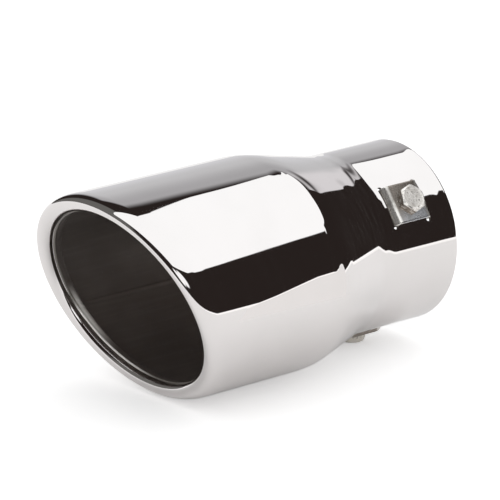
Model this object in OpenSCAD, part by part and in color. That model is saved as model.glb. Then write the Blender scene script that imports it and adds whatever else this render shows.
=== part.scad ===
// Oval exhaust tip with a round inlet collar, a rolled slash-cut lip and three bolted clamp brackets.
// The tube runs along Y: inlet face at y = 0, outlet towards -Y, +Z up. Sizes are in mm.

/* [Piece shown] */
// One piece, or all of them together

/* [Inlet collar] */
// Outside diameter of the round collar
collar_diameter = 70; // [60:0.5:90]
// Length of the round collar, from the inlet face to the neck
collar_length = 32; // [30:0.5:50]
// Thickness of the shell's sheet
sheet = 1.2; // [0.8:0.1:2]

/* [Neck and body] */
// Length of the neck, in which the round collar widens into the oval body
neck_length = 39.7; // [25:0.1:60]
// Share of the neck that each of its two soft bends takes
neck_softness = 0.22; // [0.1:0.01:0.45]
// Outside width of the oval body
body_width = 96.8; // [85:0.1:130]
// Outside height of the oval body
body_height = 82.4; // [76:0.1:110]
// Length along the axis, from the inlet face to the front of the lip
tip_length = 135.8; // [125:0.1:220]
// Angle of the slash cut: the top of the lip stands further out than the bottom
slash_angle = 20.6; // [0:0.1:25]

/* [Rolled lip] */
// How far behind the lip's front its outer shoulder starts
shoulder_depth = 7.7; // [4:0.1:10]
// How far the outer shoulder draws in
shoulder_draw = 3; // [2:0.1:5]
// How far behind the lip's front its inner edge straightens
inner_depth = 3; // [2:0.1:6]
// How far the inner edge draws in from the front of the lip
inner_draw = 3.6; // [2:0.1:6]
// Length of the straight return inside the mouth
return_length = 5; // [2:0.1:12]

/* [Clamps] */
// Angle of the right-hand clamp, from +X up towards +Z
right_angle = 36.3; // [25:0.1:50]
// Angle of the lower clamp
lower_angle = -92.5; // [-100:0.1:-80]
// Angle of the left-hand clamp, behind the body in the usual view
left_angle = 153.7; // [140:0.1:165]
// Distance of the bolts from the inlet face
bolt_station = 20.7; // [15:0.1:21.5]
// Distance between the two slits of a clamp
slit_spacing = 16.6; // [14:0.1:17.5]
// Width of a slit
slit_width = 2.4; // [2:0.1:3]
// Length of a slit, along the chord from end to end
slit_length = 17.4; // [15:0.1:22]

/* [Brackets] */
// Thickness of a bracket's sheet
bracket_sheet = 1.5; // [1:0.1:1.8]
// Width of a bracket, around the collar
bracket_width = 15.4; // [12:0.1:20]
// Outer radius of a bracket's two bends
bend_radius = 2.6; // [1.9:0.1:4]
// Gap between a bracket's plate and the top of the collar
plate_gap = 0.3; // [0.1:0.1:0.6]
// Play between a bracket's legs and the inner sides of the slits
leg_play = 0.1; // [0.05:0.05:0.2]

/* [Bolts] */
// Thread diameter of the bolts
bolt_diameter = 6; // [5:0.5:8]
// Width across the flats of the hexagon head
head_flats = 10; // [8:0.5:13]
// Height of the head
head_height = 4; // [3:0.1:5.5]
// How far the legs and the bolt tips stand short of the bore
bore_margin = 0.1; // [0.05:0.05:0.5]
// Turn of the right-hand bolt's head
right_turn = 12; // [0:1:60]
// Turn of the left-hand bolt's head
left_turn = 40; // [0:1:60]
// Turn of the lower bolt's head
lower_turn = 25; // [0:1:60]

/* [Hidden] */
sides = 72;
neck_steps = 12;
shoulder_steps = 5;
edge_steps = 5;
collar_radius = collar_diameter / 2;
bore_radius = collar_radius - sheet;
half_width = body_width / 2;
half_height = body_height / 2;
slope = tan(slash_angle);
bore_step = 0.25;
leg_end_radius = bore_radius + bore_margin;
plate_inner = collar_radius + plate_gap;
plate_outer = plate_inner + bracket_sheet;
bracket_length = slit_spacing - slit_width + 2 * (bracket_sheet + leg_play);
bend_inner = bend_radius - bracket_sheet;
bend_place = bracket_length / 2 - bend_radius;
thread_radius = bolt_diameter / 2;
thread_play = 0.05;
plate_hole_play = 0.3;
shell_colour = [0.78, 0.79, 0.8];
bracket_colour = [0.62, 0.6, 0.57];
bolt_colour = [0.7, 0.68, 0.64];
finest = 96;

// A soft step from 0 to 1: a bend, a straight and the opposite bend.
function ogee(k, q) =
    k < q ? k * k / (2 * q * (1 - q)) :
    k > 1 - q ? 1 - (1 - k) * (1 - k) / (2 * q * (1 - q)) :
    (k - q / 2) / (1 - q);

// The point number i of the oval, moved inwards by u along its normal.
function oval(i, u) =
    let (c = cos(360 * i / sides), s = sin(360 * i / sides),
         n = norm([c / half_width, s / half_height]))
    [half_width * c - u * c / half_width / n, half_height * s - u * s / half_height / n];

// The round collar's section blended into the oval one; u is the depth in the sheet.
function section(i, u, w) =
    (collar_radius - u) * [cos(360 * i / sides), sin(360 * i / sides)] * (1 - w) + oval(i, u) * w;

// A ring of the neck. Inside, the neck starts at a small step, where the bore ends.
function neck_ring(k, u) =
    [for (i = [0 : sides - 1])
        let (w = ogee(k, neck_softness), depth = u > 0 ? u + bore_step * (1 - w) : 0, p = section(i, depth, w))
        [p.x, p.y, collar_length + k * neck_length]];

function inlet_ring(u) =
    [for (i = [0 : sides - 1]) let (p = section(i, u, 0)) [p.x, p.y, 0]];

// A ring of the lip: u is inwards along the oval's normal, v is forwards of the lip's front.
function lip_ring(u, v) =
    [for (i = [0 : sides - 1]) let (p = oval(i, u)) [p.x, p.y, tip_length + v + slope * p.y]];

// The two sides of the sheet as rings, from the collar out to the lip's return and back again.
function outer_rings() = concat(
    [inlet_ring(0)],
    [for (j = [0 : neck_steps]) neck_ring(j / neck_steps, 0)],
    [for (j = [0 : shoulder_steps]) let (f = 90 * j / shoulder_steps)
        lip_ring(shoulder_draw * (1 - cos(f)), shoulder_depth * (sin(f) - 1))],
    [for (j = [1 : edge_steps]) let (f = 90 * j / edge_steps)
        lip_ring(shoulder_draw + inner_draw * sin(f), inner_depth * (cos(f) - 1))],
    [lip_ring(shoulder_draw + inner_draw, -inner_depth - return_length)]);

function inner_rings() = concat(
    [lip_ring(shoulder_draw + inner_draw - sheet, -inner_depth - return_length)],
    [for (j = [edge_steps : -1 : 1]) let (f = 90 * j / edge_steps)
        lip_ring(shoulder_draw + (inner_draw - sheet) * sin(f), (inner_depth - sheet) * cos(f) - inner_depth)],
    [for (j = [shoulder_steps : -1 : 0]) let (f = 90 * j / shoulder_steps)
        lip_ring(shoulder_draw - (shoulder_draw - sheet) * cos(f), (shoulder_depth - sheet) * sin(f) - shoulder_depth)],
    [for (j = [neck_steps : -1 : 0]) neck_ring(j / neck_steps, sheet)],
    [inlet_ring(sheet + bore_step)]);

// The collar, the neck, the oval body and the rolled lip, as one sheet.
module body_sheet() {
    rings = concat(outer_rings(), inner_rings());
    count = len(rings);
    points = [for (ring = rings) for (p = ring) p];
    faces = [for (j = [0 : count - 1]) for (i = [0 : sides - 1])
        let (a = j * sides + i, b = j * sides + (i + 1) % sides,
             c = (j + 1) % count * sides + (i + 1) % sides, d = (j + 1) % count * sides + i)
        each [[a, d, c], [a, c, b]]];
    polyhedron(points, faces);
}

module tube_axis() { rotate([90, 0, 0]) children(); }

// A clamp's own place: x outwards from the tube's axis through the bolt, z along the tube.
module clamp_place(angle) {
    rotate([0, 0, angle]) translate([0, 0, bolt_station]) children();
}

// One slit across the collar's wall, with round ends.
module slit(z) {
    ends = (slit_length - slit_width) / 2;
    translate([bore_radius - 4, -ends, z - slit_width / 2])
        cube([sheet + 8, 2 * ends, slit_width]);
    for (side = [-1, 1])
        translate([bore_radius - 4, side * ends, z]) rotate([0, 90, 0])
            cylinder(h = sheet + 8, d = slit_width, $fn = finest);
}

module tip_shell() {
    color(shell_colour) tube_axis() difference() {
        body_sheet();
        translate([0, 0, -1]) cylinder(h = collar_length + 1, r = bore_radius, $fn = finest);
        for (angle = [right_angle, left_angle, lower_angle]) clamp_place(angle) {
            slit(slit_spacing / 2);
            slit(-slit_spacing / 2);
            translate([bore_radius - 4, 0, 0]) rotate([0, 90, 0])
                cylinder(h = sheet + 8, r = thread_radius + thread_play, $fn = finest);
        }
    }
}

// A block with two round edges on top: x up to top, the round edges' centres at their place.
module folded_block(top, round_radius, length) {
    low = bore_radius - 3;
    translate([low, -bracket_width, -length / 2])
        cube([plate_outer - bend_radius - low, 2 * bracket_width, length]);
    translate([low, -bracket_width, -bend_place])
        cube([top - low, 2 * bracket_width, 2 * bend_place]);
    for (side = [-1, 1])
        translate([plate_outer - bend_radius, -bracket_width, side * bend_place]) rotate([-90, 0, 0])
            cylinder(h = 2 * bracket_width, r = round_radius, $fn = finest);
}

// A plate whose two legs are folded down through the slits; their ends follow the bore.
module clamp_bracket(angle) {
    color(bracket_colour) tube_axis() clamp_place(angle) difference() {
        intersection() {
            folded_block(plate_outer, bend_radius, bracket_length);
            translate([0, -bracket_width / 2, -bracket_length])
                cube([2 * collar_radius, bracket_width, 2 * bracket_length]);
        }
        folded_block(plate_inner, bend_inner, bracket_length - 2 * bracket_sheet);
        translate([0, 0, -bracket_length]) cylinder(h = 2 * bracket_length, r = leg_end_radius, $fn = finest);
        translate([bore_radius, 0, 0]) rotate([0, 90, 0])
            cylinder(h = 10, r = thread_radius + plate_hole_play, $fn = finest);
    }
}

// A hexagon-head bolt, its head down on the plate and its tip just short of the bore.
module clamp_bolt(angle, turn) {
    tip_chamfer = 0.6;
    across = head_flats / cos(30);
    color(bolt_colour) tube_axis() clamp_place(angle) rotate([0, 90, 0]) {
        translate([0, 0, leg_end_radius])
            cylinder(h = tip_chamfer, r1 = thread_radius - tip_chamfer, r2 = thread_radius, $fn = finest);
        translate([0, 0, leg_end_radius + tip_chamfer])
            cylinder(h = plate_outer - leg_end_radius - tip_chamfer, r = thread_radius, $fn = finest);
        intersection() {
            translate([0, 0, plate_outer]) rotate([0, 0, turn])
                cylinder(h = head_height, d = across, $fn = 6);
            translate([0, 0, plate_outer - 0.1])
                cylinder(h = head_height + 0.1, r1 = head_flats / 2 * 0.96 + (head_height + 0.1) * 1.732,
                         r2 = head_flats / 2 * 0.96, $fn = finest);
        }
    }
}

tip_shell();
clamp_bracket(right_angle);  // clamp_bracket_right
clamp_bracket(left_angle);  // clamp_bracket_left
clamp_bracket(lower_angle);  // clamp_bracket_lower
clamp_bolt(right_angle, right_turn);  // clamp_bolt_right
clamp_bolt(left_angle, left_turn);  // clamp_bolt_left
clamp_bolt(lower_angle, lower_turn);  // clamp_bolt_lower
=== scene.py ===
import logging
import math
from collections.abc import Callable, Iterable, Iterator
from contextlib import contextmanager
from dataclasses import dataclass, field
from enum import Enum

import bmesh
import bpy
from mathutils import Matrix, Vector


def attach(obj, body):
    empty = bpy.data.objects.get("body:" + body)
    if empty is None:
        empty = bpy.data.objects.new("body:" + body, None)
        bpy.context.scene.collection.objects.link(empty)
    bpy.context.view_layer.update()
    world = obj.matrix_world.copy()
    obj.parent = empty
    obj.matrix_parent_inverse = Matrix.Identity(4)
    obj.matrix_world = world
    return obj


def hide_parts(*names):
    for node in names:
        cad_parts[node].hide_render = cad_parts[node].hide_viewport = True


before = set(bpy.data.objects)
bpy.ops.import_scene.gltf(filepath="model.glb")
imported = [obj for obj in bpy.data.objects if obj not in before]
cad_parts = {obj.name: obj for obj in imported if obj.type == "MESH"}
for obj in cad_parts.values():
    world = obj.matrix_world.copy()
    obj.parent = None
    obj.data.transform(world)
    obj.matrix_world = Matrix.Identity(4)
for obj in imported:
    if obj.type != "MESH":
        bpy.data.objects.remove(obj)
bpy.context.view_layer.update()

log = logging.getLogger("exhaust_tip")

MM = 0.001
"""Metres in a millimetre: sizes are written in millimetres, meshes are built in metres."""

SENSOR = 36.0
"""The width of the camera's sensor, in millimetres."""

Socket = bpy.types.NodeSocket
"""A shader node's socket."""

Triple = tuple[float, float, float]
"""Three numbers: a colour, a place or a direction."""

Span = tuple[float, float]
"""Where a soft step starts from 0, and where it reaches 1."""


class Side(Enum):
    """The side of the shell's sheet that a face belongs to."""

    POLISHED = 0
    INSIDE = 1
    CUT = 2
    RIDGE = 3


class ClampPlace(Enum):
    """The three places round the collar that hold a clamp."""

    RIGHT = "right"
    LEFT = "left"
    LOWER = "lower"


class Value:
    """A shader value whose operators add Math nodes to its graph."""

    def __init__(self, graph: "Graph", socket: Socket) -> None:
        """Wraps one socket.

        Args:
            graph: the graph that the socket belongs to.
            socket: the output socket that carries the value.
        """
        self.graph = graph
        self.socket = socket

    def _math(self, operation: str, *values: object) -> "Value":
        """Adds one Math node.

        Args:
            operation: the Math node's operation.
            values: its inputs in order, numbers or values.

        Returns:
            The node's result.
        """
        node = self.graph.add("ShaderNodeMath", {"operation": operation}, dict(enumerate(values)))
        return Value(self.graph, node.outputs[0])

    def __add__(self, other: object) -> "Value":
        """The sum."""
        return self._math("ADD", self, other)

    __radd__ = __add__

    def __sub__(self, other: object) -> "Value":
        """The difference."""
        return self._math("SUBTRACT", self, other)

    def __rsub__(self, other: object) -> "Value":
        """The difference, the other way round."""
        return self._math("SUBTRACT", other, self)

    def __mul__(self, other: object) -> "Value":
        """The product."""
        return self._math("MULTIPLY", self, other)

    __rmul__ = __mul__

    def __truediv__(self, other: object) -> "Value":
        """The quotient."""
        return self._math("DIVIDE", self, other)

    def size(self) -> "Value":
        """The value without its sign."""
        return self._math("ABSOLUTE", self)

    def root(self) -> "Value":
        """The square root."""
        return self._math("SQRT", self)

    def wave(self) -> "Value":
        """The sine of the value."""
        return self._math("SINE", self)

    def turn_from(self, across: "Value") -> "Value":
        """The angle in degrees whose sine side is this value and whose cosine side is across."""
        return self._math("ARCTAN2", self, across) * (180 / math.pi)

    def step(self, low: float, high: float) -> "Value":
        """A soft step.

        Args:
            low: where the step starts from 0.
            high: where it reaches 1. It may lie below low.

        Returns:
            The value mapped to 0 to 1.
        """
        node = self.graph.add(
            "ShaderNodeMapRange",
            {"interpolation_type": "SMOOTHSTEP", "clamp": True},
            {0: self, 1: low, 2: high, 3: 0.0, 4: 1.0},
        )
        return Value(self.graph, node.outputs[0])


@dataclass(frozen=True)
class Grain:
    """A kind of noise: cells in a metre, finer layers and their weight, and each axis's scale."""

    cells: float
    layers: float
    fineness: float
    stretch: Triple | None = None


class Graph:
    """One node tree, and the one method that adds nodes to it."""

    def __init__(self, tree: bpy.types.NodeTree) -> None:
        """Clears a node tree for use.

        Args:
            tree: the tree of a material or of the world.
        """
        self.tree = tree
        tree.nodes.clear()

    def add(self, kind: str, settings: dict | None = None, sockets: dict | None = None) -> bpy.types.Node:
        """Adds a node.

        Args:
            kind: the node's type.
            settings: its own settings, which are set first.
            sockets: values or links by the input's name or number.

        Returns:
            The new node.
        """
        node = self.tree.nodes.new(kind)
        for name, value in (settings or {}).items():
            setattr(node, name, value)
        for name, value in (sockets or {}).items():
            socket = node.inputs[name]
            if isinstance(value, Value):
                value = value.socket
            if isinstance(value, Socket):
                self.tree.links.new(value, socket)
            elif isinstance(value, tuple) and socket.type == "RGBA":
                socket.default_value = (*value, 1.0)
            else:
                socket.default_value = value
        return node

    def value(self, socket: Socket) -> Value:
        """A socket as a value for expressions."""
        return Value(self, socket)

    def axes(self, vector: Socket) -> tuple[Value, Value, Value]:
        """The three numbers of a vector."""
        node = self.add("ShaderNodeSeparateXYZ", sockets={0: vector})
        return tuple(Value(self, output) for output in node.outputs)

    def place(self) -> Socket:
        """A point's place in the object's own frame."""
        return self.add("ShaderNodeTexCoord").outputs["Object"]

    def lip_turn(self, x: Value, z: Value) -> Value:
        """The turn round the mouth in degrees, from the right-hand side over the top."""
        return (0 - z).turn_from(0 - x) + 180

    def grain(self, place: Socket, grain: Grain) -> Value:
        """Noise at a place.

        Args:
            place: the place.
            grain: the kind of noise.

        Returns:
            The noise, about 0.5.
        """
        if grain.stretch is not None:
            scaled = self.add("ShaderNodeVectorMath", {"operation": "MULTIPLY"}, {0: place, 1: grain.stretch})
            place = scaled.outputs[0]
        sockets = {"Vector": place, "Scale": grain.cells, "Detail": grain.layers, "Roughness": grain.fineness}
        return Value(self, self.add("ShaderNodeTexNoise", {"noise_dimensions": "3D"}, sockets).outputs["Fac"])

    def mix(self, factor: object, first: object, second: object) -> Socket:
        """A colour between two colours.

        Args:
            factor: 0 gives the first and 1 the second.
            first: a colour or a link.
            second: a colour or a link.

        Returns:
            The mixed colour's socket.
        """
        node = self.add("ShaderNodeMix", {"data_type": "RGBA"}, {0: factor, 6: first, 7: second})
        return node.outputs[2]

    def bump(self, height: Value, depth: float, normal: Socket | None = None) -> Socket:
        """A normal bent by a height.

        Args:
            height: the height, from 0 to 1.
            depth: the height's real size in metres.
            normal: a normal to start from.

        Returns:
            The bent normal's socket.
        """
        sockets = {"Strength": 1.0, "Distance": depth, "Height": height}
        if normal is not None:
            sockets["Normal"] = normal
        return self.add("ShaderNodeBump", sockets=sockets).outputs["Normal"]

    def metal(self, colour: Socket, metallic: float | Value, rough: Value, normal: Socket) -> Socket:
        """A metal's shader.

        Args:
            colour: its colour.
            metallic: 1 for bare metal, less where a film or dirt dulls it.
            rough: its roughness.
            normal: its bent normal.

        Returns:
            The shader's socket.
        """
        sockets = {"Base Color": colour, "Metallic": metallic, "Roughness": rough, "Normal": normal}
        return self.add("ShaderNodeBsdfPrincipled", sockets=sockets).outputs[0]


class Finish:
    """A finish of the tip or its stage, made as a material once and shared.

    Places, widths and heights are in millimetres and turns in degrees.
    """

    name: str

    def material(self) -> bpy.types.Material:
        """The material with this finish, made on first use."""
        made = bpy.data.materials.get(self.name)
        if made is None:
            made = bpy.data.materials.new(self.name)
            made.use_nodes = True
            graph = Graph(made.node_tree)
            surface = self.surface(graph)
            graph.add("ShaderNodeOutputMaterial", sockets={"Surface": surface})
        return made

    def surface(self, graph: Graph) -> Socket:
        """The finish's shader, which each finish builds in its own way."""
        raise NotImplementedError


@dataclass(frozen=True)
class Pucker:
    """A shallow rise of the sheet: its centre, reach and height in millimetres."""

    centre: Triple
    reach: float
    height: float


@dataclass(frozen=True)
class PolishedSteel(Finish):
    """Stainless steel polished to a mirror, with faint polishing lines along the tube."""

    name: str = "mirror_steel"
    colour: Triple = (0.805, 0.775, 0.765)
    cloud: Triple = (0.785, 0.757, 0.745)
    roughness: float = 0.015
    lines: Grain = Grain(2600.0, 3.0, 0.6, (1.0, 0.05, 1.0))
    line_height: float = 0.0001
    line_rough: float = 0.012
    patches: Grain = Grain(38.0, 2.0, 0.5)
    patch_rough: float = 0.008
    waves: Grain = Grain(36.0, 1.0, 0.4, (1.0, 0.6, 1.0))
    wave_height: float = 0.06
    crease: Span = (-31.0, -36.5)
    crease_height: float = 0.28
    puckers: tuple[Pucker, ...] = (
        Pucker((17.4, -44.0, 32.4), 7.0, 0.12),
        Pucker((24.5, -38.5, 27.0), 7.0, 0.12),
        Pucker((15.2, -60.0, 37.0), 17.0, 0.3),
        Pucker((46.2, -68.3, 11.2), 7.0, 0.3),
    )
    drawn_fore: Span = (-68.0, -56.0)
    drawn_rear: Span = (-31.0, -38.0)
    drawn_rough: float = 0.03
    brushing: Grain = Grain(1300.0, 3.0, 0.65, (0.06, 1.0, 0.06))
    haze: float = 0.024
    haze_share: float = 0.25

    def surface(self, graph: Graph) -> Socket:
        """Mirror metal with waves, puckers and polishing lines, brushed and hazy on the neck.

        Args:
            graph: the material's graph.

        Returns:
            The shader's socket.
        """
        place = graph.place()
        _, y, _ = graph.axes(place)
        lines, patches = graph.grain(place, self.lines), graph.grain(place, self.patches)
        brushed = graph.grain(place, self.brushing)
        drawn = y.step(*metres(self.drawn_fore)) * y.step(*metres(self.drawn_rear))
        normal = graph.bump(graph.grain(place, self.waves), self.wave_height * MM)
        normal = graph.bump(y.step(*metres(self.crease)), self.crease_height * MM, normal)
        for pucker in self.puckers:
            sockets = {0: place, 1: metres(pucker.centre)}
            away = graph.value(graph.add("ShaderNodeVectorMath", {"operation": "DISTANCE"}, sockets).outputs["Value"])
            normal = graph.bump(away.step(pucker.reach * MM, 0.0), pucker.height * MM, normal)
        normal = graph.bump(lines, self.line_height * MM, normal)
        rough = self.roughness + self.line_rough * lines.step(0.5, 0.8) + self.patch_rough * patches.step(0.4, 0.75)
        rough = rough + self.drawn_rough * drawn * brushed.step(0.35, 0.7)
        haze = (self.haze_share + (1 - self.haze_share) * drawn) * brushed.step(0.4, 0.8) * patches.step(0.3, 0.6)
        colour = graph.mix(patches.step(0.35, 0.7), self.colour, self.cloud)
        return graph.metal(colour, 1 - self.haze * haze, rough, normal)


@dataclass(frozen=True)
class InnerSteel(Finish):
    """The unpolished inside: dark, warm and satin, drawn along the tube, with a welded seam."""

    name: str = "inner_steel"
    colour: Triple = (0.29, 0.257, 0.24)
    streak: Triple = (0.41, 0.367, 0.345)
    # The next two colours are painted light: shade darkening the lip's return, and a pale highlight on its lower
    # left.
    shaded: Triple = (0.07, 0.062, 0.056)
    painted_sheen: Triple = (0.92, 0.89, 0.85)
    streaks: Grain = Grain(900.0, 4.0, 0.65, (1.0, 0.04, 1.0))
    streak_height: float = 0.02
    stains: Grain = Grain(30.0, 3.0, 0.55)
    scratches: Grain = Grain(1300.0, 2.0, 0.7, (1.0, 0.35, 0.7))
    seam_angle: float = 200.0
    seam_width: Span = (1.1, 0.2)
    seam_side: Span = (0.0, 5.0)
    seam_height: float = 0.25
    lip_at: float = 135.8
    lip_slope: float = 20.6
    fold: Span = (8.7, 7.8)
    lower: Span = (-4.0, -22.0)
    sheen_from: Span = (186.0, 198.0)
    sheen_to: Span = (232.0, 210.0)
    sheen_depth: Span = (8.3, 6.2)
    metal_left: float = 0.9
    # How much less metal the painted highlight is, so that its pale colour shows.
    sheen_metal_drop: float = 0.8

    def surface(self, graph: Graph) -> Socket:
        """Dull metal with drawn streaks and one raised seam, painted shade over the lip's return except low down, and
        a painted highlight, a pale sheen, on the return's lower left.

        Args:
            graph: the material's graph.

        Returns:
            The shader's socket.
        """
        place = graph.place()
        x, y, z = graph.axes(place)
        streaks, stains = graph.grain(place, self.streaks), graph.grain(place, self.stains)
        scratches = graph.grain(place, self.scratches)
        angle = math.radians(self.seam_angle)
        off_seam = (x * math.sin(angle) - z * math.cos(angle)).size()
        side = (x * math.cos(angle) + z * math.sin(angle)).step(*metres(self.seam_side))
        seam = off_seam.step(*metres(self.seam_width)) * side
        behind = self.lip_at * MM + y + z * math.tan(math.radians(self.lip_slope))
        turn = graph.lip_turn(x, z)
        # Painted highlight: a pale band on the return at the lower left, over a part of the turn and a depth behind
        # the lip.
        painted_sheen = turn.step(*self.sheen_from) * turn.step(*self.sheen_to) * behind.step(*metres(self.sheen_depth))
        marks = streaks.step(0.4, 0.75) * 0.35 + stains.step(0.4, 0.75) * 0.4 + scratches.step(0.66, 0.74) * 0.5
        colour = graph.mix(marks, self.colour, self.streak)
        colour = graph.mix(seam * 0.5, colour, self.streak)
        # Painted shade: the return darkened, except low down.
        shade = behind.step(*metres(self.fold)) * (1 - z.step(*metres(self.lower))) * 0.25
        colour = graph.mix(shade, colour, self.shaded)
        colour = graph.mix(painted_sheen * (0.75 + 0.25 * streaks), colour, self.painted_sheen)
        rough = 0.42 + 0.16 * streaks - 0.08 * seam
        normal = graph.bump(streaks, self.streak_height * MM)
        normal = graph.bump(seam, self.seam_height * MM, normal)
        return graph.metal(colour, self.metal_left - self.sheen_metal_drop * painted_sheen, rough, normal)


@dataclass(frozen=True)
class CutSteel(Finish):
    """The bright sheared edge of the sheet, at the slits and the inlet."""

    name: str = "cut_steel"
    colour: Triple = (0.6, 0.57, 0.53)
    scored: Triple = (0.42, 0.39, 0.36)
    score: Grain = Grain(3500.0, 2.0, 0.6)
    score_height: float = 0.01

    def surface(self, graph: Graph) -> Socket:
        """Metal scored across its thickness.

        Args:
            graph: the material's graph.

        Returns:
            The shader's socket.
        """
        score = graph.grain(graph.place(), self.score)
        colour = graph.mix(score, self.colour, self.scored)
        return graph.metal(colour, 1.0, 0.25 + 0.3 * score, graph.bump(score, self.score_height * MM))


@dataclass(frozen=True)
class HighlitRidge(Finish):
    """The fine ridge where the polish ends inside the lip, with a painted highlight at the lower left."""

    name: str = "highlit_ridge"
    # A painted highlight's colour; the dull colour is the ridge's own.
    painted_highlight: Triple = (0.98, 0.95, 0.91)
    dull: Triple = (0.16, 0.145, 0.13)
    highlight_from: Span = (194.0, 208.0)
    highlight_to: Span = (270.0, 240.0)
    score: Grain = Grain(1400.0, 2.0, 0.6)
    score_height: float = 0.01
    metal_left: float = 0.15

    def surface(self, graph: Graph) -> Socket:
        """Fine scored metal, with a painted highlight over a part of its turn round the lip.

        Args:
            graph: the material's graph.

        Returns:
            The shader's socket.
        """
        place = graph.place()
        x, _, z = graph.axes(place)
        turn = graph.lip_turn(x, z)
        score = graph.grain(place, self.score)
        # Painted highlight: the ridge painted pale over a part of its turn, at the lower left.
        lit = turn.step(*self.highlight_from) * turn.step(*self.highlight_to)
        colour = graph.mix(lit * (0.7 + 0.3 * score), self.dull, self.painted_highlight)
        return graph.metal(colour, self.metal_left, 0.25 + 0.2 * score, graph.bump(score, self.score_height * MM))


@dataclass(frozen=True)
class SatinSheet(Finish):
    """The brackets' folded sheet: satin and warm, with rolling lines, painted highlights on the bends, a painted pale
    reflection on one side and painted shade on the legs.
    """

    name: str = "satin_sheet"
    colour: Triple = (0.29, 0.255, 0.225)
    # Painted light: this pale colour is a painted reflection, the next a painted highlight on the bends with the
    # rolling lines, and the shaded colour painted shade on the legs.
    painted_reflection: Triple = (0.6, 0.615, 0.65)
    bend_highlight_and_rolling: Triple = (0.9, 0.88, 0.84)
    stained: Triple = (0.2, 0.18, 0.16)
    shaded: Triple = (0.12, 0.108, 0.098)
    rolling: Grain = Grain(1500.0, 4.0, 0.6, (1.0, 0.08, 1.0))
    roll_height: float = 0.006
    stains: Grain = Grain(190.0, 3.0, 0.6)
    stain_height: float = 0.03
    bend: Span = (5.9, 7.0)
    reflection_from: Span = (-3.0, 9.0)
    reflection_slant: float = 0.7
    reflection_wander: float = 12.0
    leg: Span = (-0.1, -1.1)
    metal_left: float = 0.78

    def surface(self, graph: Graph) -> Socket:
        """Satin metal scored along the tube, with painted highlights on the bends, a painted pale reflection on one
        side and painted shade on the legs.

        Args:
            graph: the material's graph.

        Returns:
            The shader's socket.
        """
        place = graph.place()
        along, down, height = graph.axes(place)
        rolled, stains = graph.grain(place, self.rolling), graph.grain(place, self.stains)
        bend = along.size().step(*metres(self.bend))
        # Painted reflection: the plate paled towards one side, past a slanting line that the stains make wander.
        low = down - along * self.reflection_slant + (stains - 0.5) * (self.reflection_wander * MM)
        colour = graph.mix(low.step(*metres(self.reflection_from)), self.colour, self.painted_reflection)
        # Painted highlight on the bends; the rolling lines, which are real, are paled a little too.
        colour = graph.mix(bend * 0.9 + rolled.step(0.5, 0.8) * 0.2, colour, self.bend_highlight_and_rolling)
        colour = graph.mix(stains.step(0.5, 0.72) * 0.55, colour, self.stained)
        # Painted shade on the legs, below the plate.
        colour = graph.mix(height.step(*metres(self.leg)) * 0.8, colour, self.shaded)
        rough = 0.13 + 0.14 * rolled + 0.12 * stains.step(0.45, 0.7)
        normal = graph.bump(rolled, self.roll_height * MM)
        normal = graph.bump(stains, self.stain_height * MM, normal)
        return graph.metal(colour, self.metal_left, rough, normal)


@dataclass(frozen=True)
class TurnedSteel(Finish):
    """The bolts' plain steel, with turning rings on the head and a darker thread."""

    name: str = "turned_steel"
    colour: Triple = (0.9, 0.87, 0.83)
    dark: Triple = (0.42, 0.38, 0.33)
    # Painted shade on the head's flanks.
    flank_shading: Triple = (0.2, 0.165, 0.13)
    pitted: Triple = (0.1, 0.088, 0.075)
    head_height: float = 4.0
    top_edge: Span = (-0.15, -0.05)
    side_edge: Span = (-0.5, -0.9)
    thread: Span = (0.0, -0.3)
    ring_pitch: float = 0.42
    ring_wander: float = 0.25
    ring_reach: Span = (4.2, 3.4)
    ring_height: float = 0.04
    blotches: Grain = Grain(420.0, 3.0, 0.6)
    blotch_height: float = 0.08
    pits: Grain = Grain(1100.0, 3.0, 0.6)
    pit_height: float = 0.04
    bands: Grain = Grain(1500.0, 2.0, 0.6, (0.3, 0.3, 1.0))

    def surface(self, graph: Graph) -> Socket:
        """Pale metal with rings about the bolt's axis, pitted, with painted shade on the head's flanks, broken by
        bands.

        Args:
            graph: the material's graph.

        Returns:
            The shader's socket.
        """
        place = graph.place()
        x, y, z = graph.axes(place)
        far = (x * x + y * y).root()
        blotch, pits = graph.grain(place, self.blotches), graph.grain(place, self.pits)
        bands = graph.grain(place, self.bands)
        waves = (far + blotch * (self.ring_wander * MM)) * (2 * math.pi / (self.ring_pitch * MM))
        on_top = z.step(*metres(self.head_height + v for v in self.top_edge))
        side = z.step(*metres(self.head_height + v for v in self.side_edge))
        marks = (waves.wave() * 0.5 + 0.5) * on_top * far.step(*metres(self.ring_reach))
        worn = blotch.step(0.5, 0.66) * 0.4 + marks * 0.45 + z.step(*metres(self.thread)) * 0.5
        colour = graph.mix(worn, self.colour, self.dark)
        # Painted shade on the head's flanks, less along the bands; a copy with pale flanks stands for lit flanks.
        colour = graph.mix(side * (0.95 - 0.6 * bands.step(0.48, 0.62)), colour, self.flank_shading)
        colour = graph.mix(pits.step(0.6, 0.68) * 0.85, colour, self.pitted)
        rough = 0.16 + 0.16 * blotch + 0.1 * marks
        normal = graph.bump(marks, self.ring_height * MM)
        normal = graph.bump(blotch, self.blotch_height * MM, normal)
        normal = graph.bump(pits, self.pit_height * MM, normal)
        return graph.metal(colour, 0.85 - 0.4 * on_top, rough, normal)


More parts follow.
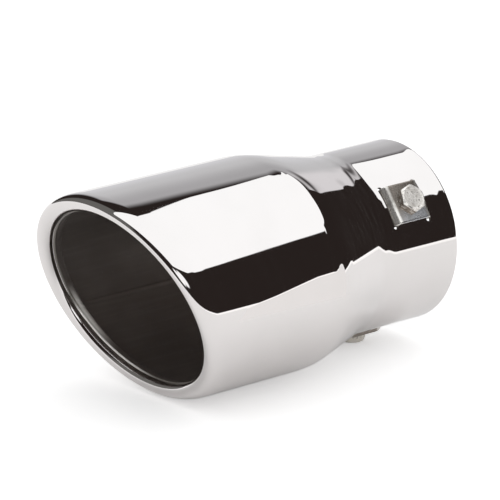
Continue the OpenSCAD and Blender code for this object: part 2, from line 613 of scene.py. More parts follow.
@dataclass(frozen=True)
class PaleFloor(Finish):
    """The pale table under the tip, which keeps its shadow."""

    name: str = "pale_floor"
    colour: Triple = (0.9, 0.9, 0.9)
    lift: float = 0.38
    mirrored_lift: float = 0.07
    edge_facing: tuple[float, float] = (0.783, 0.622)
    edge: Span = (360.0, 400.0)
    edge_lift: float = 0.26

    def surface(self, graph: Graph) -> Socket:
        """A matt floor, lifted to white where the camera sees it, glowing a little in reflections, with a painted
        highlight along its far edge there.

        Args:
            graph: the material's graph.

        Returns:
            The shader's socket.
        """
        matt = graph.add("ShaderNodeBsdfDiffuse", sockets={"Color": self.colour})
        x, y, _ = graph.axes(graph.place())
        path = graph.add("ShaderNodeLightPath")
        seen = graph.value(path.outputs["Is Camera Ray"])
        mirrored = graph.value(path.outputs["Is Glossy Ray"])
        # Painted highlight: a glow along the table's far edge that only reflections see.
        edge = (self.edge_facing[0] * x + self.edge_facing[1] * y).step(*metres(self.edge))
        lift = seen * self.lift + mirrored * (self.mirrored_lift + edge * self.edge_lift)
        glow = graph.add("ShaderNodeEmission", sockets={"Color": (1.0, 1.0, 1.0), "Strength": lift})
        return graph.add("ShaderNodeAddShader", sockets={0: matt.outputs[0], 1: glow.outputs[0]}).outputs[0]


@dataclass(frozen=True)
class PaleCard(Finish):
    """The plain card beside the table, as bright as the table's top."""

    name: str = "pale_card"
    colour: Triple = (1.0, 0.99, 0.985)
    strength: float = 0.97

    def surface(self, graph: Graph) -> Socket:
        """An even glow."""
        return graph.add("ShaderNodeEmission", sockets={"Color": self.colour, "Strength": self.strength}).outputs[0]


def metres(sizes: Iterable[float]) -> tuple[float, ...]:
    """Sizes in millimetres as metres."""
    return tuple(size * MM for size in sizes)


def quarter(steps: int) -> list[float]:
    """The angles that cut a quarter turn into equal steps."""
    return [math.pi / 2 * j / steps for j in range(steps + 1)]


def band(first: int, second: int, count: int, flipped: bool = False) -> list[tuple[int, int, int, int]]:
    """The faces between two rings of points.

    Args:
        first: the number of the first ring in the mesh.
        second: the number of the second ring.
        count: the points in a ring.
        flipped: whether the faces look the other way.

    Returns:
        One face for each point of a ring.
    """
    faces = []
    for i in range(count):
        n = (i + 1) % count
        a, b, c, d = first * count + i, second * count + i, second * count + n, first * count + n
        faces.append((a, d, c, b) if flipped else (a, b, c, d))
    return faces


def mesh_from(
    name: str, points: list[Vector], faces: list[tuple[int, ...]], finishes: Iterable[Finish],
    kinds: list[int] | None = None,
) -> bpy.types.Mesh:
    """Makes a mesh with its materials.

    Args:
        name: the mesh's name.
        points: its points in metres.
        faces: its faces.
        finishes: its finishes in order.
        kinds: each face's finish by its number, where there are several.

    Returns:
        The mesh.
    """
    mesh = bpy.data.meshes.new(name)
    mesh.from_pydata(points, [], faces)
    for finish in finishes:
        mesh.materials.append(finish.material())
    if kinds is not None:
        mesh.polygons.foreach_set("material_index", kinds)
    return mesh


@contextmanager
def opened(mesh: bpy.types.Mesh) -> Iterator[bmesh.types.BMesh]:
    """Opens a mesh for work and writes it back at the end.

    Args:
        mesh: the mesh.

    Yields:
        The mesh while it is open.
    """
    worked = bmesh.new()
    worked.from_mesh(mesh)
    yield worked
    worked.to_mesh(mesh)
    worked.free()


def soften(worked: bmesh.types.BMesh, angle: float) -> None:
    """Shades an open mesh softly up to its hard edges.

    Args:
        worked: the open mesh.
        angle: the angle from which an edge is hard, in degrees.
    """
    for face in worked.faces:
        face.smooth = True
    for edge in worked.edges:
        if len(edge.link_faces) == 2 and edge.calc_face_angle(0.0) > math.radians(angle):
            edge.smooth = False


def object_from(name: str, data: bpy.types.Mesh | bpy.types.Camera) -> bpy.types.Object:
    """Links a mesh or a camera to the scene as an object."""
    made = bpy.data.objects.new(name, data)
    bpy.context.scene.collection.objects.link(made)
    return made


def apply_modifiers(piece: bpy.types.Object) -> None:
    """Makes an object's modifiers part of its mesh.

    Args:
        piece: the object, whose modifiers are then gone.
    """
    graph = bpy.context.evaluated_depsgraph_get()
    mesh = bpy.data.meshes.new_from_object(piece.evaluated_get(graph))
    old = piece.data
    piece.modifiers.clear()
    mesh.name = old.name
    piece.data = mesh
    bpy.data.meshes.remove(old)


def cut_away(piece: bpy.types.Object, cutter: bpy.types.Object) -> None:
    """Cuts one object's volume out of another and deletes the cutter.

    Args:
        piece: what is cut.
        cutter: the closed volume that is taken away.
    """
    cut = piece.modifiers.new("cut", "BOOLEAN")
    cut.operation = "DIFFERENCE"
    cut.solver = "EXACT"
    cut.object = cutter
    apply_modifiers(piece)
    mesh = cutter.data
    bpy.data.objects.remove(cutter)
    bpy.data.meshes.remove(mesh)


@dataclass
class TipShell:
    """The one formed sheet: round collar, neck, oval body and rolled slash-cut lip.

    Sizes are in millimetres, stations are distances from the inlet, and steps are counts of rings.
    """

    collar_radius: float = 35.0
    collar_length: float = 32.0
    sheet: float = 1.2
    bore_step: float = 0.25
    neck_length: float = 39.7
    neck_softness: float = 0.22
    half_width: float = 48.4
    half_height: float = 41.2
    tip_length: float = 135.8
    slash_angle: float = 20.6
    shoulder_depth: float = 7.7
    shoulder_draw: float = 3.0
    inner_depth: float = 3.0
    inner_draw: float = 3.6
    return_length: float = 5.0
    ridge_from: float = 1.1
    ridge_width: float = 1.2
    ridge_height: float = 0.5
    slit_length: float = 17.4
    slit_width: float = 2.4
    slit_spacing: float = 16.6
    slit_steps: int = 16
    bolt_station: float = 20.7
    hole_radius: float = 3.05
    hole_sides: int = 40
    cut_below: float = 6.0
    cut_above: float = 4.0
    inlet_chamfer: float = 0.12
    sides: int = 288
    neck_steps: int = 40
    body_steps: int = 12
    body_start: float = 0.08
    shoulder_steps: int = 24
    roll_steps: int = 18
    ridge_steps: int = 10
    return_steps: int = 4
    inner_steps: int = 10
    inner_neck_steps: int = 24
    flare: tuple[tuple[float, float], ...] = (
        (0.05, 0.0), (-0.06, 0.1), (-0.06, 0.5), (-0.05, 1.2), (-0.034, 2.2), (-0.018, 3.4), (-0.006, 4.8),
    )
    outer_stations: tuple[float, ...] = (6.2, 8.0, 12.4, 16.5, 20.7, 25.0, 29.0)
    inner_stations: tuple[float, ...] = (32.0, 29.0, 25.0, 20.7, 16.5, 12.4, 8.0, 4.0)
    round_from: float = 7.0
    round_facing: float = 0.97
    round_margin: float = 0.01
    inlet_margin: float = 0.001
    polished: PolishedSteel = field(default_factory=PolishedSteel)
    inside: InnerSteel = field(default_factory=InnerSteel)
    cut: CutSteel = field(default_factory=CutSteel)
    ridge: HighlitRidge = field(default_factory=HighlitRidge)

    def ogee(self, share: float) -> float:
        """The soft step of the neck: a bend, a straight and the opposite bend."""
        soft = self.neck_softness
        if share < soft:
            return share * share / (2 * soft * (1 - soft))
        if share > 1 - soft:
            return 1 - (1 - share) ** 2 / (2 * soft * (1 - soft))
        return (share - soft / 2) / (1 - soft)

    def oval(self, turn: float, inwards: float) -> tuple[float, float]:
        """A point of the body's oval, moved inwards along its normal."""
        c, s = math.cos(turn), math.sin(turn)
        length = math.hypot(c / self.half_width, s / self.half_height)
        return (
            self.half_width * c - inwards * c / self.half_width / length,
            self.half_height * s - inwards * s / self.half_height / length,
        )

    def neck_ring(self, share: float, inwards: float) -> list[Vector]:
        """A ring of the neck.

        Args:
            share: the place along the neck, from 0 at the collar to 1 at the body.
            inwards: the depth in the sheet.

        Returns:
            The ring's points in metres.
        """
        weight = self.ogee(share)
        depth = inwards + self.bore_step * (1 - weight) if inwards > 0 else 0.0
        return self.tube_ring(weight, depth, self.collar_length + share * self.neck_length)

    def tube_ring(self, weight: float, depth: float, station: float) -> list[Vector]:
        """A ring between the round and the oval section.

        Args:
            weight: 0 for the round section and 1 for the oval one.
            depth: the depth in the sheet.
            station: the distance from the inlet.

        Returns:
            The ring's points in metres.
        """
        points = []
        for i in range(self.sides):
            turn = 2 * math.pi * i / self.sides
            ox, oz = self.oval(turn, depth)
            radius = (self.collar_radius - depth) * (1 - weight)
            points.append(
                Vector((radius * math.cos(turn) + ox * weight, -station, radius * math.sin(turn) + oz * weight)) * MM
            )
        return points

    def lip_ring(self, inwards: float, forwards: float) -> list[Vector]:
        """A ring of the slanted lip.

        Args:
            inwards: the distance in from the body's outline.
            forwards: the distance in front of the lip's crest.

        Returns:
            The ring's points in metres.
        """
        slope = math.tan(math.radians(self.slash_angle))
        points = []
        for i in range(self.sides):
            x, z = self.oval(2 * math.pi * i / self.sides, inwards)
            points.append(Vector((x, -(self.tip_length + forwards + slope * z), z)) * MM)
        return points

    def outer_rings(self) -> list[list[Vector]]:
        """The polished side, from the inlet over the lip's crest to the end of its return."""
        rings = [self.tube_ring(0.0, depth, station) for depth, station in self.flare]
        rings += [self.tube_ring(0.0, 0.0, station) for station in self.outer_stations]
        rings += [self.neck_ring(j / self.neck_steps, 0.0) for j in range(self.neck_steps + 1)]
        start, body = self.lip_ring(0.0, -self.shoulder_depth), rings[-1]
        for j in (self.body_start, *range(1, self.body_steps)):
            rings.append([a.lerp(b, j / self.body_steps) for a, b in zip(body, start)])
        for f in quarter(self.shoulder_steps):
            draw, back = self.shoulder_draw * (1 - math.cos(f)), self.shoulder_depth * (math.sin(f) - 1)
            rings.append(self.lip_ring(draw, back))
        for f in quarter(self.roll_steps)[1:]:
            draw, back = self.shoulder_draw + self.inner_draw * math.sin(f), self.inner_depth * (math.cos(f) - 1)
            rings.append(self.lip_ring(draw, back))
        deep = self.shoulder_draw + self.inner_draw
        rings.append(self.lip_ring(deep, -self.inner_depth - self.ridge_from / 2))
        for j in range(self.ridge_steps + 1):
            rise = self.ridge_height * math.sin(math.pi * j / self.ridge_steps)
            back = self.inner_depth + self.ridge_from + self.ridge_width * j / self.ridge_steps
            rings.append(self.lip_ring(deep + rise, -back))
        left = self.return_length - self.ridge_from - self.ridge_width
        for j in range(1, self.return_steps + 1):
            back = left * (1 - j / self.return_steps) - self.inner_depth - self.return_length
            rings.append(self.lip_ring(deep, back))
        return rings

    def inner_rings(self) -> list[list[Vector]]:
        """The unpolished side, from the end of the return back to the bore."""
        deep = self.shoulder_draw + self.inner_draw - self.sheet
        rings = [self.lip_ring(deep, -self.inner_depth - self.return_length)]
        for f in quarter(self.inner_steps)[:0:-1]:
            draw = self.shoulder_draw + (self.inner_draw - self.sheet) * math.sin(f)
            back = (self.inner_depth - self.sheet) * math.cos(f) - self.inner_depth
            rings.append(self.lip_ring(draw, back))
        for f in quarter(self.inner_steps)[::-1]:
            draw = self.shoulder_draw - (self.shoulder_draw - self.sheet) * math.cos(f)
            back = (self.shoulder_depth - self.sheet) * math.sin(f) - self.shoulder_depth
            rings.append(self.lip_ring(draw, back))
        start, body = rings[-1], self.neck_ring(1.0, self.sheet)
        for j in range(1, self.body_steps):
            rings.append([a.lerp(b, j / self.body_steps) for a, b in zip(start, body)])
        steps = self.inner_neck_steps
        rings += [self.neck_ring(j / steps, self.sheet) for j in range(steps, -1, -1)]
        stations = (*self.inner_stations, self.inlet_chamfer)
        rings += [self.tube_ring(0.0, self.sheet, station) for station in stations]
        rings.append(self.tube_ring(0.0, self.sheet - self.inlet_chamfer, 0.0))
        return rings

    def side_of(self, ring: int, outer: int, count: int) -> Side:
        """The side of the sheet that the faces behind a ring belong to.

        Args:
            ring: the ring's number.
            outer: the number of rings on the polished side and the return.
            count: the number of all rings.

        Returns:
            The faces' side.
        """
        inside_from = outer - self.return_steps - 1
        if ring < inside_from - self.ridge_steps:
            return Side.POLISHED
        if ring < inside_from:
            return Side.RIDGE
        return Side.CUT if ring == count - 1 else Side.INSIDE

    def build(self, angles: list[float]) -> bpy.types.Object:
        """Builds the shell with its slits and holes and dresses it.

        Args:
            angles: the clamps' angles round the collar, in degrees.

        Returns:
            The shell's object.
        """
        outer = self.outer_rings()
        rings = outer + self.inner_rings()
        count = len(rings)
        faces, kinds = [], []
        for j in range(count):
            faces += band(j, (j + 1) % count, self.sides)
            kinds += [self.side_of(j, len(outer), count).value] * self.sides
        points = [point for ring in rings for point in ring]
        finishes = (self.polished, self.inside, self.cut, self.ridge)
        mesh = mesh_from("tip_shell_skin", points, faces, finishes, kinds)
        mesh.polygons.foreach_set("use_smooth", [True] * len(faces))
        mesh.update()
        shell = object_from("tip_shell_skin", mesh)
        for angle in angles:
            for side in (-0.5, 0.5):
                cut_away(shell, self.slit_cutter(angle, self.bolt_station + side * self.slit_spacing))
            cut_away(shell, self.hole_cutter(angle))
        self.smooth(shell)
        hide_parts("tip_shell")
        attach(shell, "root")
        log.info("tip_shell_skin: %d faces", len(shell.data.polygons))
        return shell

    def smooth(self, shell: bpy.types.Object) -> None:
        """Gives the collar its true round normals, which the cuts would spoil.

        Args:
            shell: the cut shell.
        """
        mesh = shell.data
        for polygon in mesh.polygons:
            polygon.use_smooth = True
        mesh.update()
        soft = [v.normal.copy() for v in mesh.vertices]
        normals = [Vector((0, 0, 1))] * len(mesh.loops)
        edge = -(self.collar_length + self.round_margin) * MM
        for polygon in mesh.polygons:
            flat = polygon.normal
            for loop in polygon.loop_indices:
                index = mesh.loops[loop].vertex_index
                place = mesh.vertices[index].co
                if polygon.material_index == Side.CUT.value and place.y > -self.inlet_margin * MM:
                    normals[loop] = flat
                elif edge < place.y < -self.round_from * MM:
                    radial = Vector((place.x, 0.0, place.z)).normalized()
                    facing = flat.dot(radial)
                    if abs(facing) > self.round_facing:
                        normals[loop] = radial if facing > 0 else -radial
                    else:
                        normals[loop] = flat
                else:
                    normals[loop] = soft[index]
        mesh.normals_split_custom_set(normals)

    def cutter(self, name: str, outline: list[tuple[float, float]], angle: float, station: float) -> bpy.types.Object:
        """A prism through the collar's wall along a clamp's own axis.

        Args:
            name: the cutter's name.
            outline: its section, across and along the tube, in millimetres.
            angle: the clamp's angle in degrees.
            station: the section's distance from the inlet.

        Returns:
            The closed prism.
        """
        turn = math.radians(angle)
        out = Vector((math.cos(turn), 0.0, math.sin(turn)))
        across = Vector((-math.sin(turn), 0.0, math.cos(turn)))
        along = Vector((0.0, -1.0, 0.0))
        depths = (self.collar_radius - self.cut_below, self.collar_radius + self.cut_above)
        points = [(out * depth + across * a + along * (station + b)) * MM for depth in depths for a, b in outline]
        count = len(outline)
        faces = [tuple(range(count)), tuple(range(2 * count - 1, count - 1, -1)), *band(0, 1, count)]
        kinds = [Side.CUT.value] * len(faces)
        mesh = mesh_from(name, points, faces, (self.polished, self.inside, self.cut), kinds)
        with opened(mesh) as worked:
            bmesh.ops.recalc_face_normals(worked, faces=worked.faces)
        return object_from(name, mesh)

    def slit_cutter(self, angle: float, station: float) -> bpy.types.Object:
        """The slit that a bracket's leg passes, with round ends."""
        straight, radius = (self.slit_length - self.slit_width) / 2, self.slit_width / 2
        outline = []
        for end, start in ((straight, -0.5), (-straight, 0.5)):
            for j in range(self.slit_steps + 1):
                f = math.pi * (j / self.slit_steps + start)
                outline.append((end + radius * math.cos(f), radius * math.sin(f)))
        return self.cutter("slit_cutter", outline, angle, station)

    def hole_cutter(self, angle: float) -> bpy.types.Object:
        """The hole that a bolt screws into."""
        turns = [2 * math.pi * j / self.hole_sides for j in range(self.hole_sides)]
        outline = [(self.hole_radius * math.cos(f), self.hole_radius * math.sin(f)) for f in turns]
        return self.cutter("hole_cutter", outline, angle, self.bolt_station)


@dataclass
class Clamp:
    """One clamp of the collar: its own place, its folded bracket and its bolt.

    Sizes are in millimetres, angles in degrees, and heights in a bolt are from its head's seat.
    """

    place: ClampPlace
    angle: float
    head_turn: float
    station: float = 20.7
    plate_inner: float = 35.3
    plate_sheet: float = 1.5
    plate_width: float = 15.4
    plate_length: float = 17.4
    plate_steps: int = 24
    bend_radius: float = 2.6
    bend_steps: int = 12
    inner_bend_steps: int = 8
    edge_round: float = 0.22
    edge_angle: float = 50.0
    leg_end: float = 33.9
    head_flats: float = 10.0
    head_height: float = 4.0
    head_base: tuple[float, float] = (4.7, 0.12)
    crown_share: float = 0.88
    crown_angle: float = 30.0
    crown_edge: tuple[float, float] = (0.25, 0.05)
    crown_rings: tuple[tuple[float, float], ...] = ((3.2, 0.09), (1.2, 0.1))
    bolt_sides: int = 96
    thread_radius: float = 3.0
    thread_play: float = 0.05
    thread_pitch: float = 1.0
    thread_depth: float = 0.9
    thread_sharpness: float = 1.2
    thread_steps: int = 30
    tip_length: float = 0.45
    tip_share: float = 0.55
    bolt_hard_angle: float = 28.0
    fold_hard_angle: float = 40.0
    sheet: SatinSheet = field(default_factory=SatinSheet)
    steel: TurnedSteel = field(default_factory=TurnedSteel)

    def frame_at(self, depth: float) -> Matrix:
        """The clamp's own frame.

        Args:
            depth: its origin's distance from the tube's axis, in millimetres.

        Returns:
            A matrix whose x runs along the tube, y across it and z outwards.
        """
        turn = math.radians(self.angle)
        out = Vector((math.cos(turn), 0.0, math.sin(turn)))
        along = Vector((0.0, -1.0, 0.0))
        across = out.cross(along)
        origin = (out * depth + along * self.station) * MM
        turned = Matrix((along, across, out)).transposed().to_4x4()
        return Matrix.Translation(origin) @ turned

    def section(self, foot: float) -> list[tuple[float, float]]:
        """The bracket's folded outline.

        Args:
            foot: the height that marks the legs' ends.

        Returns:
            Places along the tube and heights over its axis.
        """
        half, radius, inner = self.plate_length / 2, self.bend_radius, self.bend_radius - self.plate_sheet
        centre = self.plate_inner + self.plate_sheet - radius
        outer_turns, inner_turns = quarter(self.bend_steps), quarter(self.inner_bend_steps)
        points = [(-half, foot)]
        points += [(-half + radius - radius * math.cos(f), centre + radius * math.sin(f)) for f in outer_turns]
        points += [(half - radius + radius * math.cos(f), centre + radius * math.sin(f)) for f in outer_turns[::-1]]
        points += [(half, foot), (half - self.plate_sheet, foot)]
        points += [(half - radius + inner * math.cos(f), centre + inner * math.sin(f)) for f in inner_turns]
        points += [(-half + radius - inner * math.cos(f), centre + inner * math.sin(f)) for f in inner_turns[::-1]]
        points.append((-half + self.plate_sheet, foot))
        return points

    def bracket(self) -> bpy.types.Object:
        """Builds the folded bracket, its legs' ends following the bore.

        Returns:
            The bracket's object.
        """
        foot, steps = 0.0, self.plate_steps
        section = self.section(foot)
        count = len(section)
        points, faces = [], []
        for k in range(steps + 1):
            across = self.plate_width * (k / steps - 0.5)
            bore = math.sqrt(self.leg_end**2 - across**2)
            for along, height in section:
                height = bore if height == foot else height
                points.append(Vector((along, across, height - self.plate_inner)) * MM)
        for k in range(steps):
            faces += band(k, k + 1, count)
        faces += [tuple(range(count)), tuple(range((steps + 1) * count - 1, steps * count - 1, -1))]
        name = f"clamp_bracket_{self.place.value}_folded"
        mesh = mesh_from(name, points, faces, [self.sheet])
        with opened(mesh) as worked:
            bmesh.ops.recalc_face_normals(worked, faces=worked.faces)
        bracket = object_from(name, mesh)
        bracket.matrix_world = self.frame_at(self.plate_inner)
        bevel = bracket.modifiers.new("edge", "BEVEL")
        bevel.width, bevel.segments, bevel.limit_method = self.edge_round * MM, 2, "ANGLE"
        bevel.angle_limit = math.radians(self.edge_angle)
        apply_modifiers(bracket)
        with opened(bracket.data) as worked:
            soften(worked, self.fold_hard_angle)
        self.finish_piece(bracket, f"clamp_bracket_{self.place.value}")
        return bracket

    def thread_ring(self, height: float) -> list[Vector]:
        """A ring of the thread.

        Args:
            height: the ring's height, below 0.

        Returns:
            The ring's points in metres.
        """
        points = []
        for i in range(self.bolt_sides):
            turn = 2 * math.pi * i / self.bolt_sides
            phase = (height / self.thread_pitch - i / self.bolt_sides) % 1.0
            groove = 0.5 * (1 - abs(2 * phase - 1)) ** self.thread_sharpness
            radius = self.thread_radius - self.thread_play - groove * self.thread_depth
            points.append(Vector((radius * math.cos(turn), radius * math.sin(turn), height)) * MM)
        return points

    def round_ring(self, radius: float, height: float) -> list[Vector]:
        """A plain ring of the head, turned as the head is."""
        return self.head_ring(lambda turn: radius, lambda reach: height)

    def head_ring(self, radius_at: Callable[[float], float], height_at: Callable[[float], float]) -> list[Vector]:
        """A ring of the head.

        Args:
            radius_at: the radius at an angle from a corner.
            height_at: the height at a radius.

        Returns:
            The ring's points in metres.
        """
        turned = math.radians(self.head_turn)
        points = []
        for i in range(self.bolt_sides):
            turn = 2 * math.pi * i / self.bolt_sides
            radius = radius_at(turn)
            x, y = radius * math.cos(turn + turned), radius * math.sin(turn + turned)
            points.append(Vector((x, y, height_at(radius))) * MM)
        return points

    def head_radius(self, turn: float) -> float:
        """The hexagon's reach from the bolt's axis at an angle from a corner."""
        within = (turn % (math.pi / 3)) - math.pi / 6
        return self.head_flats / 2 / math.cos(within)

    def head_rings(self) -> list[list[Vector]]:
        """The head, from its seat over the chamfered corners to the middle of its top."""
        top, flat = self.head_height, self.head_flats / 2 * self.crown_share
        fall = math.tan(math.radians(self.crown_angle))
        seat, lift = self.head_base
        rings = [
            self.round_ring(seat, 0.0),
            self.head_ring(self.head_radius, lambda reach: lift),
            self.head_ring(self.head_radius, lambda reach: top - max(0.0, reach - flat) * fall),
        ]
        inset, fallen = self.crown_edge
        for radius, drop in ((flat, 0.0), (flat - inset, fallen), *self.crown_rings):
            rings.append(self.round_ring(radius, top - drop))
        rings.append([Vector((0.0, 0.0, (top - self.crown_rings[-1][1]) * MM))] * self.bolt_sides)
        return rings

    def bolt(self) -> bpy.types.Object:
        """Builds the hexagon bolt with its chamfered head and its thread.

        Returns:
            The bolt's object.
        """
        seat = self.plate_inner + self.plate_sheet
        reach = seat - self.leg_end
        share, steps, run = self.tip_share, self.thread_steps, reach - self.tip_length
        rings = [
            [Vector((0.0, 0.0, -reach * MM))] * self.bolt_sides,
            [Vector((p.x * share, p.y * share, -reach * MM)) for p in self.thread_ring(-reach)],
        ]
        rings += [self.thread_ring(-reach + self.tip_length + run * j / steps) for j in range(steps + 1)]
        rings += self.head_rings()
        faces = []
        for j in range(len(rings) - 1):
            faces += band(j, j + 1, self.bolt_sides, flipped=True)
        name = f"clamp_bolt_{self.place.value}_turned"
        mesh = mesh_from(name, [point for ring in rings for point in ring], faces, [self.steel])
        with opened(mesh) as worked:
            bmesh.ops.remove_doubles(worked, verts=worked.verts, dist=1e-7)
            bmesh.ops.recalc_face_normals(worked, faces=worked.faces)
            soften(worked, self.bolt_hard_angle)
        bolt = object_from(name, mesh)
        bolt.matrix_world = self.frame_at(seat)
        self.finish_piece(bolt, f"clamp_bolt_{self.place.value}")
        return bolt

    def finish_piece(self, piece: bpy.types.Object, node: str) -> None:
        """Ties a piece to its node and reports it.

        Args:
            piece: the piece.
            node: the node that it stands for.
        """
        piece.visible_glossy = False
        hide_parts(node)
        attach(piece, "root")
        log.info("%s: %d faces", piece.name, len(piece.data.polygons))


@dataclass(frozen=True)
class Room:
    """What the polish mirrors, by the reflection's direction, as a plan of the room.

    A bearing is in degrees from the inlet's side towards the left. The panel's edges lie in its
    plane overhead, by the direction's x and y over its height.
    """

    dark: Triple = (0.024, 0.018, 0.0165)
    front: Triple = (0.15, 0.148, 0.142)
    front_bearing: Span = (75.0, 83.0)
    front_side: Span = (0.02, -0.2)
    wall_low: Triple = (0.7, 0.705, 0.73)
    wall_middle: Triple = (0.62, 0.625, 0.64)
    wall_high: Triple = (0.46, 0.46, 0.475)
    wall_near: Triple = (0.8, 0.79, 0.81)
    wall_from: Span = (15.2, 15.8)
    wall_to: Span = (62.0, 57.0)
    near_to: Span = (37.0, 30.0)
    middle_height: Span = (0.0, 0.25)
    high_height: Span = (0.25, 0.53)
    wall_top: Span = (0.5, 0.42)
    top_bow: float = 0.13
    top_bow_at: Span = (0.945, 0.885)
    top_bow_turn: float = 0.006
    panel: Triple = (1.19, 1.21, 1.22)
    panel_height: Span = (0.3, 0.32)
    rear_at: float = 1.0
    rear_blur: Span = (0.004, -0.004)
    rear_step: float = 0.13
    rear_step_at: Span = (0.64, 0.36)
    rear_slant: float = 0.22
    rear_slant_from: float = 0.63
    rear_slant_at: Span = (0.6, 0.66)
    rear_finger: float = 0.065
    rear_finger_at: tuple[Span, Span] = ((0.639, 0.65), (0.675, 0.665))
    rear_finger_side: Span = (0.55, 0.66)
    left_slope: float = 0.617
    left_bend: float = 0.72
    left_bend_at: Span = (0.73, 0.71)
    left_blur: Span = (-0.01, 0.0)
    left_steps: tuple[tuple[float, Span], ...] = (
        (0.115, (0.605, 0.615)), (0.045, (0.62, 0.632)), (-0.095, (0.639, 0.65)),
    )
    right_lean: float = 0.2
    right_lean_at: Span = (0.5, 1.05)
    right_edge: Span = (1.2, 1.18)
    fore_edge: Span = (-0.52, -0.48)
    lamps: tuple[Triple, ...] = ((0.822, -0.456, 0.342), (0.885, -0.2, 0.42))
    lamp_edge: Span = (0.98, 0.99)

    def wall_mask(self, y: Value, z: Value, bearing: Value) -> Value:
        """Where the grey wall stands, its top bowed towards the rear.

        Args:
            y: the direction's part along the tube.
            z: its height.
            bearing: its bearing.

        Returns:
            1 on the wall and 0 beside it.
        """
        top = z - self.top_bow * (y + self.top_bow_turn * bearing).step(*self.top_bow_at)
        return bearing.step(*self.wall_from) * top.step(*self.wall_top) * bearing.step(*self.wall_to)

    def wall_colour(self, graph: Graph, z: Value, bearing: Value) -> Socket:
        """The wall's colour, darker with its height and paler at its near end.

        Args:
            graph: the world's graph.
            z: the direction's height.
            bearing: its bearing.

        Returns:
            The colour's socket.
        """
        colour = graph.mix(z.step(*self.middle_height), self.wall_low, self.wall_middle)
        colour = graph.mix(z.step(*self.high_height), colour, self.wall_high)
        return graph.mix(bearing.step(*self.near_to), colour, self.wall_near)

    def panel_mask(self, x: Value, y: Value, z: Value) -> Value:
        """Where the bright panel hangs overhead, with its bent and stepped edges.

        Args:
            x: the direction's part across the tube.
            y: its part along the tube.
            z: its height.

        Returns:
            1 on the panel and 0 beside it.
        """
        across, along = x / z, y / z
        rear = along - self.rear_at - self.rear_step * across.step(*self.rear_step_at)
        rear = rear - self.rear_slant * (across - self.rear_slant_from) * across.step(*self.rear_slant_at)
        start, end = self.rear_finger_at
        rear = rear - self.rear_finger * y.step(*start) * y.step(*end) * across.step(*self.rear_finger_side)
        left = across + self.left_slope * (along + (self.left_bend - along) * along.step(*self.left_bend_at))
        for size, place in self.left_steps:
            left = left + size * y.step(*place)
        right = across + self.right_lean * along.step(*self.right_lean_at)
        mask = z.step(*self.panel_height) * left.step(*self.left_blur) * rear.step(*self.rear_blur)
        return mask * along.step(*self.fore_edge) * right.step(*self.right_edge)

    def seen_from(self, graph: Graph, facing: Socket) -> Socket:
        """The room's colour in a direction.

        Args:
            graph: the world's graph.
            facing: the direction.

        Returns:
            The colour's socket.
        """
        x, y, z = graph.axes(facing)
        bearing = (0 - x).turn_from(y)
        front = bearing.step(*self.front_bearing) * x.step(*self.front_side)
        colour = graph.mix(front, self.dark, self.front)
        colour = graph.mix(self.wall_mask(y, z, bearing), colour, self.wall_colour(graph, z, bearing))
        colour = graph.mix(self.panel_mask(x, y, z), colour, self.panel)
        for lamp in self.lamps:
            towards = x * lamp[0] + y * lamp[1] + z * lamp[2]
            colour = graph.mix(towards.step(*self.lamp_edge), colour, self.panel)
        return colour


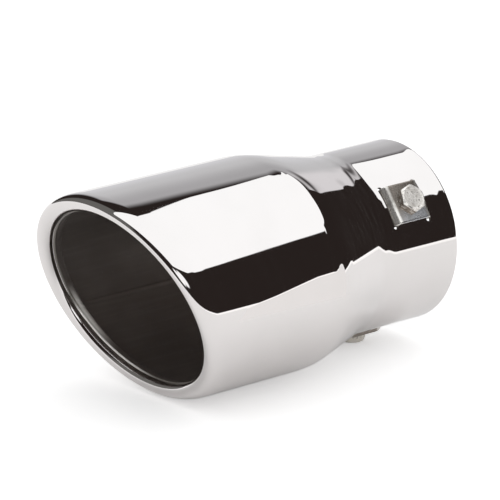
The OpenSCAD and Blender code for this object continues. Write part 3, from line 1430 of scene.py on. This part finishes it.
@dataclass
class Studio:
    """The pale table, the card beside it, the room that the polish mirrors and the camera."""

    floor_level: float = -41.25
    floor_facing: tuple[float, float] = (0.78, 0.62)
    floor_span: tuple[float, float] = (-4000.0, 560.0)
    floor_half: float = 3000.0
    card_facing: tuple[float, float] = (0.774, 0.633)
    card_distance: float = 100.0
    card_rim: float = 2.6
    card_top: tuple[tuple[float, float], ...] = (
        (-122.0, -10.0), (-116.3, -4.3), (-111.2, 0.0), (-104.0, 7.9), (-98.4, 13.6), (-92.9, 18.5),
        (-86.8, 19.4), (-81.3, 25.0), (-72.0, 27.0), (-60.0, 26.0), (-52.0, 20.0), (-44.0, 2.0),
    )
    room: Room = field(default_factory=Room)
    eye: Triple = (1155.5, -1069.5, 483.2)
    azimuth: float = 49.28
    elevation: float = 17.59
    focal_pixels: float = 4274.0
    off_centre: tuple[float, float] = (-2.794, 17.296)
    frame_pixels: float = 500.0

    def build(self) -> None:
        """Lays the floor, stands the card, fills the world and sets the camera."""
        self.floor()
        self.card()
        self.world()
        self.camera()

    def floor(self) -> bpy.types.Object:
        """The table's top, its right-hand rear edge close behind the tip.

        Returns:
            The floor's object.
        """
        near = Vector((*self.floor_facing, 0.0)).normalized()
        beside = Vector((-near.y, near.x, 0.0))
        (back, front), half = metres(self.floor_span), self.floor_half * MM
        level = Vector((0.0, 0.0, self.floor_level * MM))
        corners = ((front, half), (front, -half), (back, -half), (back, half))
        points = [near * a + beside * b + level for a, b in corners]
        table = object_from("table_top", mesh_from("table_top", points, [(3, 2, 1, 0)], [PaleFloor()]))
        log.info("table_top laid at %.2f mm", self.floor_level)
        return table

    def card(self) -> bpy.types.Object:
        """A low card with a wavy top, behind on the right, which only the polish shows.

        Returns:
            The card's object.
        """
        ahead = Vector((*self.card_facing, 0.0))
        beside = Vector((-ahead.y, ahead.x, 0.0))
        points = []
        for across, top in self.card_top:
            foot = ahead * self.card_distance + beside * across
            points += [(foot + Vector((0.0, 0.0, z))) * MM for z in (self.floor_level, top - self.card_rim, top)]
        faces, kinds = [], []
        for corner in range(0, len(points) - 3, 3):
            for kind in (0, 1):
                a = corner + kind
                faces.append((a, a + 3, a + 4, a + 1))
                kinds.append(kind)
        # The card's top strip glows brighter than the rest: a painted highlight line along its edge.
        finishes = (PaleCard(), PaleCard(name="card_rim", strength=1.25))
        card = object_from("low_card", mesh_from("low_card", points, faces, finishes, kinds))
        card.visible_camera = card.visible_diffuse = card.visible_shadow = False
        log.info("low_card stood %.0f mm away", self.card_distance)
        return card

    def world(self) -> None:
        """Fills the world: white to the camera and to plain light, and the room in the polish."""
        world = bpy.data.worlds.new("studio")
        bpy.context.scene.world = world
        world.use_nodes = True
        graph = Graph(world.node_tree)
        facing = graph.add("ShaderNodeTexCoord").outputs["Generated"]
        glossy = graph.value(graph.add("ShaderNodeLightPath").outputs["Is Glossy Ray"])
        shown = graph.mix(glossy, (1.0, 1.0, 1.0), self.room.seen_from(graph, facing))
        sky = graph.add("ShaderNodeBackground", sockets={"Color": shown, "Strength": 1.0})
        graph.add("ShaderNodeOutputWorld", sockets={"Surface": sky.outputs[0]})

    def camera(self) -> bpy.types.Object:
        """The camera at the photograph's place, aimed so that it needs no shift.

        Returns:
            The camera's object.
        """
        az, el = math.radians(self.azimuth), math.radians(self.elevation)
        back = Vector((math.sin(az) * math.cos(el), -math.cos(az) * math.cos(el), math.sin(el)))
        right = Vector((math.cos(az), math.sin(az), 0.0))
        up = back.cross(right)
        dx, dy = self.off_centre
        aim = (-back + right * (-dx / self.focal_pixels) + up * (dy / self.focal_pixels)).normalized()
        data = bpy.data.cameras.new("camera")
        data.sensor_fit = "HORIZONTAL"
        data.sensor_width = SENSOR
        data.lens = self.focal_pixels * SENSOR / self.frame_pixels
        data.clip_start, data.clip_end = 0.05, 50.0
        camera = object_from("camera", data)
        side = aim.cross(Vector((0.0, 0.0, 1.0))).normalized()
        turned = Matrix((side, side.cross(aim), -aim)).transposed().to_4x4()
        camera.matrix_world = Matrix.Translation(Vector(self.eye) * MM) @ turned
        bpy.context.scene.camera = camera
        return camera


def main() -> None:
    """Builds the tip and its studio."""
    logging.basicConfig(level=logging.INFO, format="%(name)s: %(message)s")
    # The left and lower bolts get pale flanks: painted light, where the right bolt's flanks carry painted shade.
    lit_steel = TurnedSteel(name="lit_turned_steel", flank_shading=(0.82, 0.78, 0.7))
    clamps = [
        Clamp(ClampPlace.RIGHT, 36.3, 16.0),
        Clamp(ClampPlace.LEFT, 153.7, 40.0, steel=lit_steel),
        Clamp(ClampPlace.LOWER, -92.5, 25.0, steel=lit_steel),
    ]
    TipShell().build([clamp.angle for clamp in clamps])
    for clamp in clamps:
        clamp.bracket()
        clamp.bolt()
    Studio().build()
    bpy.context.scene.view_settings.view_transform = "Standard"
    bpy.context.view_layer.update()


if __name__ == "__main__":
    main()
